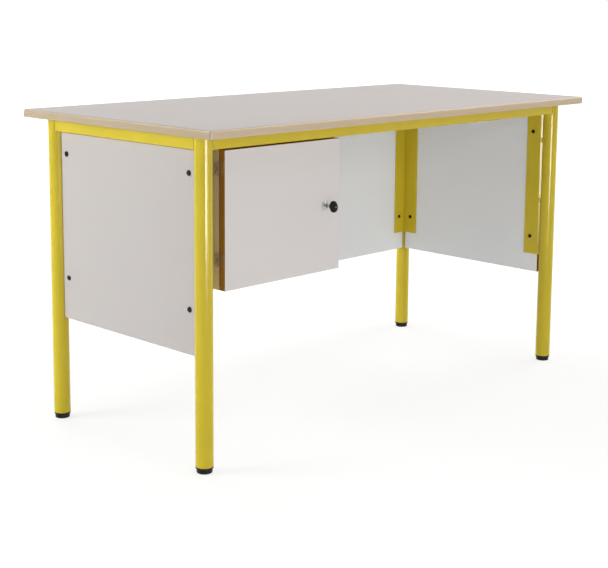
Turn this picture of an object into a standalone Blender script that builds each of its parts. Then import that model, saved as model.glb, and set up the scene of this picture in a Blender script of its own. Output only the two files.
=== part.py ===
"""Teacher's desk with a locking cupboard.

Welded frame of round legs and square rails, laminate top with wooden lippings, three bolted
panels and a hung cupboard with a hinged door and a cam lock. Metres, +Z up. +X runs along the
desk's length with the cupboard at the -X end, and the user sits on the -Y side. The origin is
on the floor under the middle of the top.
"""

import math

import bmesh
import bpy
from mathutils import Matrix, Vector

# Whole desk
DESK_LENGTH = 1.380
DESK_DEPTH = 0.680
DESK_HEIGHT = 0.760
FIT_GAP = 0.0003

# Desktop
TOP_THICKNESS = 0.019
LIPPING_WIDTH = 0.008
LIPPING_TOP_RADIUS = 0.0055
LIPPING_BOTTOM_RADIUS = 0.0015
LIPPING_CORNER_RADIUS = 0.005

# Legs, and the distances of their axes from the desktop's edges
LEG_DIAMETER = 0.040
LEG_WALL = 0.002
LEG_END_INSET = 0.045
LEG_SIDE_INSET = 0.074
LEG_SEGMENTS = 36

# Foot inserts
FOOT_HEIGHT = 0.014
FOOT_RIM_HEIGHT = 0.0035
FOOT_TAPER = 0.0022
FOOT_ROUNDING = 0.0018
FOOT_SPIGOT = 0.024

# Rails
RAIL_SIZE = 0.030
RAIL_WALL = 0.002
RAIL_CORNER_RADIUS = 0.003

# Panels
PANEL_THICKNESS = 0.016
PANEL_HEIGHT = 0.452
PANEL_END_GAP = 0.0006
PANEL_TOP_GAP = 0.0025
BOARD_ARRIS = 0.0006

# Brackets welded to the legs
BRACKET_WIDTH = 0.050
CORNER_BACK_FLANGE = 0.046
CORNER_SIDE_FLANGE = 0.049
CORNER_SEAM = 0.0008
BRACKET_THICKNESS = 0.003
BRACKET_LENGTH = 0.400
BRACKET_TOP_GAP = 0.003
BOLT_GAUGE = 0.030
CORNER_BOLT_GAUGE = 0.0275
BOLT_END_DISTANCE = 0.050

# Panel bolts
BOLT_DIAMETER = 0.008
BOLT_HEAD_DIAMETER = 0.0135
BOLT_HEAD_HEIGHT = 0.0042
BOLT_TIP = 0.0010
BOLT_SEGMENTS = 20

# Cupboard
CUPBOARD_WIDTH = 0.360
CUPBOARD_HEIGHT = 0.341
CUPBOARD_LEG_SPACE = 0.028
CUPBOARD_PANEL_SPACE = 0.043
CUPBOARD_BOARD = 0.016
CUPBOARD_BACK = 0.004
NOTCH_CLEARANCE = 0.001
ANGLE_LEG = 0.030
ANGLE_WIDTH = 0.024
ANGLE_THICKNESS = 0.002
ANGLE_END_DISTANCE = 0.060

# Door
DOOR_THICKNESS = 0.019
DOOR_TOP_GAP = 0.0033
DOOR_BACK_GAP = 0.0008

# Hinges, with the distances of their middles from the door's lower and upper ends
HINGE_LENGTH = 0.030
HINGE_LEAF = 0.015
HINGE_THICKNESS = 0.0012
HINGE_BARREL = 0.0052
HINGE_PIN = 0.0026
HINGE_PLAY = 0.00015
HINGE_CAP = 0.0008
HINGE_BOTTOM_DISTANCE = 0.0670
HINGE_TOP_DISTANCE = 0.0407
HINGE_SEGMENTS = 20

# Lock, with the distances of its axis from the door's free edge and above the door's middle
LOCK_EDGE_DISTANCE = 0.049
LOCK_RISE = 0.001
ROSETTE_DIAMETER = 0.0225
ROSETTE_HEIGHT = 0.0030
ROSETTE_BEVEL = 0.0020
BARREL_DIAMETER = 0.018
BARREL_BEHIND_DOOR = 0.009
PLUG_DIAMETER = 0.0125
PLUG_PLAY = 0.00015
PLUG_RECESS = 0.0014
STUB_SIZE = 0.0064
NUT_ACROSS_FLATS = 0.024
NUT_HEIGHT = 0.004
CAM_THICKNESS = 0.0022
CAM_REACH = 0.028
CAM_WIDTH = 0.012
CAM_HUB_RADIUS = 0.0082
CAM_PLAY = 0.0003
CAM_SCREW_HEAD = 0.009
CAM_SCREW_HEAD_HEIGHT = 0.0024
CAM_SCREW_DIAMETER = 0.0034
CAM_SCREW_LENGTH = 0.006
LOCK_SEGMENTS = 32

# Strike plate on the cupboard's right side
STRIKE_HEIGHT = 0.036
STRIKE_FLANGE = 0.014
STRIKE_BASE = 0.025
STRIKE_THICKNESS = 0.002
STRIKE_CAM_GAP = 0.0008

# Key
KEY_BLADE_THICKNESS = 0.0020
KEY_BLADE_HEIGHT = 0.0070
KEY_BLADE_DEPTH = 0.020
KEY_TANG = 0.009
KEY_PLAY = 0.0003
BOW_HEIGHT = 0.027
BOW_LENGTH = 0.023
BOW_THICKNESS = 0.0045
BOW_CENTRE = 0.0275
BOW_NECK_WIDTH = 0.008
BOW_NECK_LENGTH = 0.0006
BOW_HOLE_DIAMETER = 0.0055
BOW_HOLE_OFFSET = 0.0075
BOW_ROUNDING = 0.0010

# Places worked out from the sizes above
LEG_RADIUS = LEG_DIAMETER / 2
LEG_X = DESK_LENGTH / 2 - LEG_END_INSET
LEG_Y = DESK_DEPTH / 2 - LEG_SIDE_INSET
TOP_UNDERSIDE = DESK_HEIGHT - TOP_THICKNESS
FRAME_TOP = TOP_UNDERSIDE - FIT_GAP
RAIL_BOTTOM = FRAME_TOP - RAIL_SIZE
# The corner angles' outer corners meet the legs on the diagonal, which sets the panels' planes
PANEL_OFFSET = (LEG_RADIUS + FIT_GAP) / math.sqrt(2)
PANEL_TOP = RAIL_BOTTOM - PANEL_TOP_GAP
PANEL_END = LEG_RADIUS + PANEL_END_GAP
BRACKET_TOP = RAIL_BOTTOM - BRACKET_TOP_GAP
BRACKET_OFFSET = PANEL_OFFSET + FIT_GAP
BOLT_HEIGHTS = (BRACKET_TOP - BRACKET_LENGTH + BOLT_END_DISTANCE, BRACKET_TOP - BOLT_END_DISTANCE)
CUPBOARD_LEFT = -LEG_X + LEG_RADIUS + CUPBOARD_LEG_SPACE
CUPBOARD_RIGHT = CUPBOARD_LEFT + CUPBOARD_WIDTH
CUPBOARD_BOTTOM = FRAME_TOP - CUPBOARD_HEIGHT
DOOR_FRONT = -LEG_Y - RAIL_SIZE / 2
DOOR_REAR = DOOR_FRONT + DOOR_THICKNESS
DOOR_TOP = RAIL_BOTTOM - DOOR_TOP_GAP
CUPBOARD_FRONT = DOOR_REAR + DOOR_BACK_GAP
CUPBOARD_REAR = LEG_Y - PANEL_OFFSET - CUPBOARD_PANEL_SPACE
HINGE_X = CUPBOARD_LEFT - FIT_GAP - HINGE_BARREL / 2
HINGE_Y = DOOR_REAR + DOOR_BACK_GAP / 2
HINGE_HEIGHTS = {"lower": CUPBOARD_BOTTOM + HINGE_BOTTOM_DISTANCE, "upper": DOOR_TOP - HINGE_TOP_DISTANCE}
LOCK_X = CUPBOARD_RIGHT - LOCK_EDGE_DISTANCE
LOCK_Z = (CUPBOARD_BOTTOM + DOOR_TOP) / 2 + LOCK_RISE
BARREL_END = DOOR_THICKNESS + BARREL_BEHIND_DOOR
CAM_FRONT = BARREL_END + FIT_GAP

LEGS = {
    "front_left": (-1, -1),
    "front_right": (1, -1),
    "back_left": (-1, 1),
    "back_right": (1, 1),
}


def clear_scene():
    """Removes whatever the scene holds before the model is built."""
    for old in list(bpy.data.objects):
        bpy.data.objects.remove(old, do_unlink=True)


def material(name, colour, roughness, metallic=0.0):
    """A Principled material with one colour."""
    made = bpy.data.materials.new(name)
    made.use_nodes = True
    shader = made.node_tree.nodes["Principled BSDF"]
    shader.inputs["Base Color"].default_value = (*colour, 1.0)
    shader.inputs["Roughness"].default_value = roughness
    shader.inputs["Metallic"].default_value = metallic
    return made


def empty(name, at, parent=None):
    """An empty on a joint's axis, for the pieces that move about it."""
    made = bpy.data.objects.new(name, None)
    bpy.context.collection.objects.link(made)
    seat(made, at, parent)
    return made


def world_place(piece):
    """Where a piece's origin lies in the world, added up through its parents."""
    place = Vector(piece.location)
    while piece.parent:
        piece = piece.parent
        place += piece.location
    return place


def seat(piece, at, parent):
    """Puts a piece's origin at a world place, under a parent that is only moved, not turned."""
    piece.parent = parent
    piece.location = Vector(at) - (world_place(parent) if parent else Vector())


def add(name, shape, finish, at=(0, 0, 0), turn=(0, 0, 0), parent=None, smooth=False):
    """Makes the named object from a bmesh and puts it in its place."""
    bmesh.ops.recalc_face_normals(shape, faces=shape.faces)
    mesh = bpy.data.meshes.new(name)
    shape.to_mesh(mesh)
    shape.free()
    if smooth:
        mesh.shade_smooth()
        mesh.set_sharp_from_angle(angle=math.radians(35))
    piece = bpy.data.objects.new(name, mesh)
    bpy.context.collection.objects.link(piece)
    if finish:
        mesh.materials.append(finish)
    piece.rotation_euler = turn
    seat(piece, at, parent)
    return piece


def cutter(name, shape, at=(0, 0, 0), turn=(0, 0, 0), parent=None):
    """A shape that only cuts or joins others and isn't a piece itself."""
    made = add(name, shape, None, at, turn, parent)
    made.hide_render = True
    made.display_type = "WIRE"
    return made


def combine(piece, other, operation="DIFFERENCE"):
    """Cuts another shape out of a piece, or joins it on."""
    step = piece.modifiers.new(other.name, "BOOLEAN")
    step.operation = operation
    step.solver = "EXACT"
    step.object = other


def break_edges(piece, width, segments=1):
    """Takes the sharp arrises off a piece."""
    step = piece.modifiers.new("arris", "BEVEL")
    step.width = width
    step.segments = segments
    step.limit_method = "ANGLE"
    step.angle_limit = math.radians(40)


def block(low, high):
    """A box between two corners."""
    shape = bmesh.new()
    size = Vector(high) - Vector(low)
    middle = (Vector(high) + Vector(low)) / 2
    bmesh.ops.create_cube(shape, size=1.0, matrix=Matrix.Translation(middle) @ Matrix.Diagonal((*size, 1.0)))
    return shape


def prism(outline, low, high):
    """An outline in X and Y, drawn out along Z."""
    shape = bmesh.new()
    base = shape.faces.new([shape.verts.new((x, y, low)) for x, y in outline])
    drawn = bmesh.ops.extrude_face_region(shape, geom=[base])
    moved = [v for v in drawn["geom"] if isinstance(v, bmesh.types.BMVert)]
    bmesh.ops.translate(shape, verts=moved, vec=(0, 0, high - low))
    return shape


def hollow_prism(outer, inner, low, high):
    """A tube between two outlines that have the same number of points."""
    shape = bmesh.new()
    loops = []
    for outline, height in ((outer, low), (outer, high), (inner, high), (inner, low)):
        loops.append([shape.verts.new((x, y, height)) for x, y in outline])
    count = len(outer)
    for one, two in zip(loops, loops[1:] + loops[:1]):
        for k in range(count):
            shape.faces.new((one[k], one[(k + 1) % count], two[(k + 1) % count], two[k]))
    return shape


def turned(profile, segments, ring=False):
    """A profile of radius and height turned about Z. A ring's profile closes on itself."""
    shape = bmesh.new()
    points = [shape.verts.new((radius, 0, height)) for radius, height in profile]
    pairs = list(zip(points, points[1:] + points[:1] if ring else points[1:]))
    edges = [shape.edges.new(pair) for pair in pairs]
    bmesh.ops.spin(
        shape, geom=points + edges, cent=(0, 0, 0), axis=(0, 0, 1),
        angle=math.tau, steps=segments, use_merge=True,
    )
    bmesh.ops.remove_doubles(shape, verts=shape.verts, dist=1e-7)
    return shape


def arc(centre, radius, start, end, steps):
    """Points along a circular arc, with its angles in degrees."""
    points = []
    for k in range(steps + 1):
        angle = math.radians(start + (end - start) * k / steps)
        points.append((centre[0] + radius * math.cos(angle), centre[1] + radius * math.sin(angle)))
    return points


def circle(radius, segments):
    """Points round a circle about the origin."""
    return arc((0, 0), radius, 0, 360 - 360 / segments, segments - 1)


def rounded_square(size, radius, steps=3):
    """Outline of a square with round corners about the origin."""
    reach = size / 2 - radius
    points = []
    for corner, (sx, sy) in enumerate(((1, 1), (-1, 1), (-1, -1), (1, -1))):
        points += arc((sx * reach, sy * reach), radius, 90 * corner, 90 * corner + 90, steps)
    return points


def rod(radius, low, high, segments):
    """A plain cylinder about Z."""
    return prism(circle(radius, segments), low, high)


def build_desktop(laminate, wood):
    """The laminate board and the four mitred lippings round it."""
    half_length = DESK_LENGTH / 2
    half_depth = DESK_DEPTH / 2
    inset = LIPPING_WIDTH + FIT_GAP
    add(
        "desktop_board",
        block(
            (-half_length + inset, -half_depth + inset, TOP_UNDERSIDE),
            (half_length - inset, half_depth - inset, DESK_HEIGHT),
        ),
        laminate,
    )
    sides = {
        "front": (half_length, (0, -half_depth), 0),
        "right": (half_depth, (half_length, 0), 90),
        "back": (half_length, (0, half_depth), 180),
        "left": (half_depth, (-half_length, 0), 270),
    }
    for side, (half, place, angle) in sides.items():
        add(
            f"lipping_{side}",
            lipping(half),
            wood,
            at=(*place, TOP_UNDERSIDE),
            turn=(0, 0, math.radians(angle)),
            smooth=True,
        )


def lipping(half):
    """A strip along X whose outer face is at y = 0, rounded and mitred at both corners."""
    top = LIPPING_TOP_RADIUS
    bottom = LIPPING_BOTTOM_RADIUS
    corner = LIPPING_CORNER_RADIUS
    profile = [(LIPPING_WIDTH, 0)]
    profile += [(LIPPING_WIDTH, TOP_THICKNESS)]
    profile += arc((top, TOP_THICKNESS - top), top, 90, 180, 4)
    profile += arc((bottom, bottom), bottom, 180, 270, 2)
    shape = bmesh.new()
    rings = []
    for angle in (-45, -30, -15, 0, 0, 15, 30, 45):
        side = -1 if len(rings) < 4 else 1
        turn = math.radians(angle)
        ring = []
        for depth, height in profile:
            swing = max(corner - depth, 0)
            inset = max(depth - corner, 0)
            x = side * (half - corner - inset - FIT_GAP / 2) + swing * math.sin(turn)
            y = corner + inset - swing * math.cos(turn)
            ring.append(shape.verts.new((x, y, height)))
        rings.append(ring)
    count = len(profile)
    for one, two in zip(rings, rings[1:]):
        for k in range(count):
            after = (k + 1) % count
            shape.faces.new((one[k], one[after], two[after], two[k]))
    shape.faces.new(rings[0])
    shape.faces.new(reversed(rings[-1]))
    bmesh.ops.remove_doubles(shape, verts=shape.verts, dist=1e-7)
    return shape


def build_legs(paint, plastic):
    """Four leg tubes with an insert in each lower end."""
    outer = circle(LEG_RADIUS, LEG_SEGMENTS)
    inner = circle(LEG_RADIUS - LEG_WALL, LEG_SEGMENTS)
    for place, (sx, sy) in LEGS.items():
        axis = (sx * LEG_X, sy * LEG_Y, 0)
        add(f"leg_{place}", hollow_prism(outer, inner, FOOT_HEIGHT + FIT_GAP, FRAME_TOP), paint, at=axis, smooth=True)
        add(f"foot_{place}", foot(), plastic, at=axis, smooth=True)


def foot():
    """A turned insert: tapered pad, rim under the tube's end and spigot inside the tube."""
    pad = LEG_RADIUS - FOOT_TAPER
    spigot = LEG_RADIUS - LEG_WALL - FIT_GAP
    top = FOOT_HEIGHT + FOOT_SPIGOT
    profile = [
        (0, top),
        (spigot - FOOT_ROUNDING, top),
        (spigot, top - FOOT_ROUNDING),
        (spigot, FOOT_HEIGHT),
        (LEG_RADIUS, FOOT_HEIGHT),
        (LEG_RADIUS, FOOT_HEIGHT - FOOT_RIM_HEIGHT),
        (pad, FOOT_HEIGHT - FOOT_RIM_HEIGHT - FOOT_TAPER / 2),
        (pad, FOOT_ROUNDING),
        (pad - FOOT_ROUNDING / 3, FOOT_ROUNDING / 3),
        (pad - FOOT_ROUNDING, 0),
        (0, 0),
    ]
    return turned(profile, LEG_SEGMENTS)


def build_rails(paint):
    """Four square tubes, mitred where their inner faces meet and cut to the legs' round."""
    middle = RAIL_BOTTOM + RAIL_SIZE / 2
    outer = rounded_square(RAIL_SIZE, RAIL_CORNER_RADIUS)
    inner = rounded_square(RAIL_SIZE - 2 * RAIL_WALL, RAIL_CORNER_RADIUS - RAIL_WALL)
    copes = {}
    for place, (sx, sy) in LEGS.items():
        shape = rod(LEG_RADIUS + FIT_GAP, RAIL_BOTTOM - RAIL_SIZE, FRAME_TOP + RAIL_SIZE, LEG_SEGMENTS)
        copes[place] = cutter(f"cope_{place}", shape, at=(sx * LEG_X, sy * LEG_Y, 0))
    runs = {
        "front": (LEG_X, (0, -LEG_Y), (0, math.radians(90), 0), (0, 1)),
        "back": (LEG_X, (0, LEG_Y), (0, math.radians(90), 0), (0, -1)),
        "left": (LEG_Y, (-LEG_X, 0), (math.radians(90), 0, 0), (1, 0)),
        "right": (LEG_Y, (LEG_X, 0), (math.radians(90), 0, 0), (-1, 0)),
    }
    for side, (half, place, turn, inwards) in runs.items():
        shape = hollow_prism(outer, inner, -half, half)
        for point in shape.verts:
            inset = point.co.x * inwards[0] + point.co.y * inwards[1]
            if inset > 0:
                point.co.z -= math.copysign(inset + FIT_GAP, point.co.z)
        rail = add(f"rail_{side}", shape, paint, at=(*place, middle), turn=turn)
        for leg, cope in copes.items():
            if side in leg:
                combine(rail, cope)


def corner_angle_outline():
    """Angle with a seam in its bend, measured inwards from the leg's axis along X and along Y."""
    near = BRACKET_OFFSET
    inner = near + BRACKET_THICKNESS
    along = near + CORNER_BACK_FLANGE
    across = near + CORNER_SIDE_FLANGE
    return [
        (near, near),
        (along, near),
        (along, inner),
        (inner + CORNER_SEAM, inner),
        (inner - CORNER_SEAM, inner - CORNER_SEAM),
        (inner, inner + CORNER_SEAM),
        (inner, across),
        (near, across),
    ]


def reach_leg(u, w):
    """Where a line from (u, w) along the diagonal towards the leg's axis meets the leg."""
    surface = LEG_RADIUS + FIT_GAP
    total = u + w
    run = (total - math.sqrt(total ** 2 - 2 * (u ** 2 + w ** 2 - surface ** 2))) / 2
    return (u - run, w - run)


def lipped_bracket_outline():
    """Flat strip on the panel whose front lip bends half way round to meet the leg."""
    near = BRACKET_OFFSET
    inner = near + BRACKET_THICKNESS
    far = near + BRACKET_WIDTH
    bend = PANEL_END - FIT_GAP
    bend_inner = bend - BRACKET_THICKNESS * math.tan(math.radians(22.5))
    return [
        (near, far),
        (near, bend),
        reach_leg(near, bend),
        reach_leg(inner, bend_inner),
        (inner, bend_inner),
        (inner, far),
    ]


def build_brackets(paint):
    """Corner angles on the back legs and lipped strips on the front legs."""
    brackets = {}
    for place, (sx, sy) in LEGS.items():
        outline = corner_angle_outline() if sy > 0 else lipped_bracket_outline()
        facing = [(-sx * u, -sy * w) for u, w in outline]
        name = f"corner_angle_{place}" if sy > 0 else f"panel_bracket_{place}"
        shape = prism(facing, BRACKET_TOP - BRACKET_LENGTH, BRACKET_TOP)
        brackets[place] = add(name, shape, paint, at=(sx * LEG_X, sy * LEG_Y, 0))
    return brackets


def build_panels(laminate):
    """Left, right and back panels that close the desk's sides."""
    low = PANEL_TOP - PANEL_HEIGHT
    across = LEG_Y - PANEL_END
    along = LEG_X - PANEL_END
    panels = {}
    for side, sign in (("left", -1), ("right", 1)):
        inner = sign * (LEG_X - PANEL_OFFSET)
        outer = inner + sign * PANEL_THICKNESS
        shape = block((min(inner, outer), -across, low), (max(inner, outer), across, PANEL_TOP))
        panels[side] = add(f"panel_{side}", shape, laminate)
    inner = LEG_Y - PANEL_OFFSET
    shape = block((-along, inner, low), (along, inner + PANEL_THICKNESS, PANEL_TOP))
    panels["back"] = add("panel_back", shape, laminate)
    for panel in panels.values():
        break_edges(panel, BOARD_ARRIS)
    return panels


def bolt():
    """Domed bolt along Z: underside of the head at z = 0, shank downwards."""
    head = BOLT_HEAD_DIAMETER / 2
    shank = BOLT_DIAMETER / 2
    end = -(PANEL_THICKNESS + 2 * FIT_GAP + BRACKET_THICKNESS + BOLT_TIP)
    profile = [(0, BOLT_HEAD_HEIGHT)]
    for angle in (72, 54, 36, 18, 0):
        turn = math.radians(angle)
        profile.append((head * math.cos(turn), BOLT_HEAD_HEIGHT * math.sin(turn)))
    profile += [(shank, 0), (shank, end + shank / 4), (shank * 0.75, end), (0, end)]
    return turned(profile, BOLT_SEGMENTS)


def build_bolts(steel, panels, brackets):
    """Four bolts in each panel, through its brackets, with the holes that they need."""
    back_place = LEG_X - BRACKET_OFFSET - CORNER_BOLT_GAUGE
    outer_x = LEG_X - PANEL_OFFSET + PANEL_THICKNESS + FIT_GAP
    outer_y = LEG_Y - PANEL_OFFSET + PANEL_THICKNESS + FIT_GAP
    turns = {
        "left": (0, math.radians(-90), 0),
        "right": (0, math.radians(90), 0),
        "back": (math.radians(-90), 0, 0),
    }
    for height_name, height in zip(("lower", "upper"), BOLT_HEIGHTS):
        for place, (sx, sy) in LEGS.items():
            side = "left" if sx < 0 else "right"
            side_place = LEG_Y - BRACKET_OFFSET - (CORNER_BOLT_GAUGE if sy > 0 else BOLT_GAUGE)
            seats = [(side, (sx * outer_x, sy * side_place, height))]
            if sy > 0:
                seats.append(("back", (sx * back_place, outer_y, height)))
            for panel, at in seats:
                name = f"bolt_{panel}_{height_name}_{place}"
                add(name, bolt(), steel, at=at, turn=turns[panel], smooth=True)
                reach = PANEL_THICKNESS + 2 * BRACKET_THICKNESS
                shape = rod(BOLT_DIAMETER / 2 + FIT_GAP, -reach, BOLT_HEAD_HEIGHT, BOLT_SEGMENTS)
                hole = cutter(f"hole_{name}", shape, at=at, turn=turns[panel])
                combine(panels[panel], hole)
                combine(brackets[place], hole)


def build_cupboard(laminate, fibre, zinc):
    """The cupboard's boards, hung from the desktop by four angles."""
    rail_rear = -LEG_Y + RAIL_SIZE / 2 + NOTCH_CLEARANCE
    notch_bottom = RAIL_BOTTOM - NOTCH_CLEARANCE
    side_outline = [
        (CUPBOARD_FRONT, CUPBOARD_BOTTOM),
        (CUPBOARD_REAR, CUPBOARD_BOTTOM),
        (CUPBOARD_REAR, FRAME_TOP),
        (rail_rear, FRAME_TOP),
        (rail_rear, notch_bottom),
        (CUPBOARD_FRONT, notch_bottom),
    ]
    upright = Matrix(((0, 0, 1, 0), (1, 0, 0, 0), (0, 1, 0, 0), (0, 0, 0, 1)))
    for side, left in (("left", CUPBOARD_LEFT), ("right", CUPBOARD_RIGHT - CUPBOARD_BOARD)):
        shape = prism(side_outline, left, left + CUPBOARD_BOARD)
        bmesh.ops.transform(shape, matrix=upright, verts=shape.verts)
        add(f"cupboard_side_{side}", shape, laminate)
    inner_left = CUPBOARD_LEFT + CUPBOARD_BOARD + FIT_GAP
    inner_right = CUPBOARD_RIGHT - CUPBOARD_BOARD - FIT_GAP
    back_front = CUPBOARD_REAR - CUPBOARD_BACK
    add(
        "cupboard_bottom",
        block(
            (inner_left, CUPBOARD_FRONT, CUPBOARD_BOTTOM),
            (inner_right, back_front - FIT_GAP, CUPBOARD_BOTTOM + CUPBOARD_BOARD),
        ),
        laminate,
    )
    add(
        "cupboard_back",
        block((inner_left, back_front, CUPBOARD_BOTTOM), (inner_right, CUPBOARD_REAR, FRAME_TOP)),
        fibre,
    )
    for side, corner, sign in (("left", inner_left, 1), ("right", inner_right, -1)):
        for end, middle in (
            ("front", CUPBOARD_FRONT + ANGLE_END_DISTANCE),
            ("rear", CUPBOARD_REAR - ANGLE_END_DISTANCE),
        ):
            outline = [
                (0, 0),
                (ANGLE_LEG, 0),
                (ANGLE_LEG, -ANGLE_THICKNESS),
                (ANGLE_THICKNESS, -ANGLE_THICKNESS),
                (ANGLE_THICKNESS, -ANGLE_LEG),
                (0, -ANGLE_LEG),
            ]
            shape = prism([(sign * x, z) for x, z in outline], -ANGLE_WIDTH / 2, ANGLE_WIDTH / 2)
            add(
                f"cupboard_angle_{side}_{end}",
                shape,
                zinc,
                at=(corner, middle, FRAME_TOP),
                turn=(math.radians(90), 0, 0),
            )


def build_door(laminate, pivot):
    """The door, bored for the lock."""
    door = add(
        "door",
        block(
            (CUPBOARD_LEFT - HINGE_X, DOOR_FRONT - HINGE_Y, CUPBOARD_BOTTOM),
            (CUPBOARD_RIGHT - HINGE_X, DOOR_REAR - HINGE_Y, DOOR_TOP),
        ),
        laminate,
        at=(HINGE_X, HINGE_Y, 0),
        parent=pivot,
    )
    break_edges(door, BOARD_ARRIS)
    shape = rod(BARREL_DIAMETER / 2 + FIT_GAP, -2 * DOOR_THICKNESS, DOOR_THICKNESS, LOCK_SEGMENTS)
    combine(door, cutter("lock_hole", shape, at=(LOCK_X, DOOR_FRONT, LOCK_Z), turn=FORWARD, parent=pivot))


def hinge_leaf_outline(direction):
    """Leaf flat on the wood at +X, rolled into a barrel about the origin, running along Y."""
    radius = HINGE_BARREL / 2
    inner = radius - HINGE_THICKNESS
    meet = math.degrees(math.acos(inner / radius))
    outline = [(radius, HINGE_LEAF)]
    outline += arc((0, 0), radius, 0, meet - 360, HINGE_SEGMENTS)
    outline += [(inner, HINGE_LEAF)]
    return [(x, direction * y) for x, y in outline]


def build_hinges(steel, pivot):
    """Two butt hinges: the cupboard's leaf, the door's leaf and the pin of each."""
    third = HINGE_LENGTH / 3
    half = HINGE_LENGTH / 2
    room = HINGE_BARREL / 2 + HINGE_PLAY + FIT_GAP
    bore = HINGE_PIN / 2 + HINGE_PLAY
    knuckles = {
        "cupboard": [(-third / 2, third / 2)],
        "door": [(-half - FIT_GAP, -third / 2), (third / 2, half + FIT_GAP)],
    }
    for place, height in HINGE_HEIGHTS.items():
        centre = (HINGE_X, HINGE_Y, height)
        pin_hole = cutter(f"pin_hole_{place}", rod(bore, -HINGE_LENGTH, HINGE_LENGTH, HINGE_SEGMENTS), at=centre)
        for leaf, direction, parent in (("cupboard", 1, None), ("door", -1, pivot)):
            shape = prism(hinge_leaf_outline(direction), -half, half)
            name = f"hinge_leaf_{leaf}_{place}"
            piece = add(name, shape, steel, at=centre, parent=parent, smooth=True)
            combine(piece, pin_hole)
            for k, (low, high) in enumerate(knuckles[leaf]):
                gap = block((-room, -room, low - FIT_GAP), (room + FIT_GAP, room, high + FIT_GAP))
                combine(piece, cutter(f"knuckle_gap_{leaf}_{place}_{k}", gap, at=centre))
        pin = HINGE_PIN / 2
        profile = [
            (0, half + FIT_GAP + HINGE_CAP),
            (pin, half + FIT_GAP + HINGE_CAP),
            (pin + HINGE_CAP, half + FIT_GAP + HINGE_CAP / 2),
            (pin + HINGE_CAP, half + FIT_GAP),
            (pin, half + FIT_GAP),
            (pin, -half),
            (0, -half),
        ]
        add(f"hinge_pin_{place}", turned(profile, HINGE_SEGMENTS), steel, at=centre, smooth=True)


# Turns a shape's own +Z to face the user, and its +Y upwards
FORWARD = (math.radians(90), 0, 0)


def build_lock(nickel, zinc, door_pivot, plug_pivot):
    """Cam lock: housing and nut on the door, plug with its cam and screw that turn."""
    face = (LOCK_X, DOOR_FRONT, LOCK_Z)
    rosette = ROSETTE_DIAMETER / 2
    barrel = BARREL_DIAMETER / 2
    bore = PLUG_DIAMETER / 2 + PLUG_PLAY
    housing = [
        (bore, ROSETTE_HEIGHT),
        (rosette - ROSETTE_BEVEL, ROSETTE_HEIGHT),
        (rosette, ROSETTE_HEIGHT - ROSETTE_BEVEL),
        (rosette, FIT_GAP),
        (barrel, FIT_GAP),
        (barrel, -BARREL_END),
        (bore, -BARREL_END),
    ]
    add("lock_housing", turned(housing, LOCK_SEGMENTS, ring=True), nickel, face, FORWARD, door_pivot, True)

    corner = NUT_ACROSS_FLATS / 2 / math.cos(math.radians(30))
    top = -DOOR_THICKNESS - FIT_GAP
    nut = add("lock_nut", prism(circle(corner, 6), top - NUT_HEIGHT, top), zinc, face, FORWARD, door_pivot)
    shape = rod(barrel + FIT_GAP, -2 * BARREL_END, 0, LOCK_SEGMENTS)
    combine(nut, cutter("nut_bore", shape, face, FORWARD, door_pivot))

    plug_end = -BARREL_END
    stub_end = -CAM_FRONT - CAM_THICKNESS - FIT_GAP
    half_stub = STUB_SIZE / 2
    shape = rod(PLUG_DIAMETER / 2, plug_end, ROSETTE_HEIGHT - PLUG_RECESS, LOCK_SEGMENTS)
    plug = add("lock_plug", shape, nickel, face, FORWARD, plug_pivot)
    shape = block((-half_stub, -half_stub, stub_end), (half_stub, half_stub, plug_end + STUB_SIZE))
    combine(plug, cutter("plug_stub", shape, face, FORWARD, plug_pivot), "UNION")
    wide = KEY_BLADE_THICKNESS / 2 + KEY_PLAY
    tall = KEY_BLADE_HEIGHT / 2 + KEY_PLAY
    shape = block((-wide, -tall, -KEY_BLADE_DEPTH - KEY_PLAY), (wide, tall, 2 * ROSETTE_HEIGHT))
    combine(plug, cutter("keyway", shape, face, FORWARD, plug_pivot))
    shaft = CAM_SCREW_DIAMETER / 2
    shape = rod(shaft + FIT_GAP, 2 * stub_end, stub_end + CAM_SCREW_LENGTH + FIT_GAP, BOLT_SEGMENTS)
    combine(plug, cutter("cam_screw_hole", shape, face, FORWARD, plug_pivot))

    cam = add("lock_cam", prism(cam_outline(), -CAM_FRONT - CAM_THICKNESS, -CAM_FRONT), zinc, face, FORWARD, plug_pivot)
    hole = half_stub + CAM_PLAY
    shape = block((-hole, -hole, -2 * BARREL_END), (hole, hole, 0))
    combine(cam, cutter("cam_hole", shape, face, FORWARD, plug_pivot))

    head = CAM_SCREW_HEAD / 2
    head_top = stub_end - FIT_GAP
    screw = [
        (0, stub_end + CAM_SCREW_LENGTH),
        (shaft, stub_end + CAM_SCREW_LENGTH),
        (shaft, head_top),
        (head, head_top),
        (head, head_top - CAM_SCREW_HEAD_HEIGHT / 2),
        (head * 0.7, head_top - CAM_SCREW_HEAD_HEIGHT),
        (0, head_top - CAM_SCREW_HEAD_HEIGHT),
    ]
    add("lock_cam_screw", turned(screw, BOLT_SEGMENTS), zinc, face, FORWARD, plug_pivot, True)


def cam_outline():
    """The cam hanging down from its hub, with a round tip."""
    half = CAM_WIDTH / 2
    outline = arc((0, 0), CAM_HUB_RADIUS, 0, 180, 10)
    outline += arc((0, half - CAM_REACH), half, 180, 360, 8)
    return outline


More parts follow.
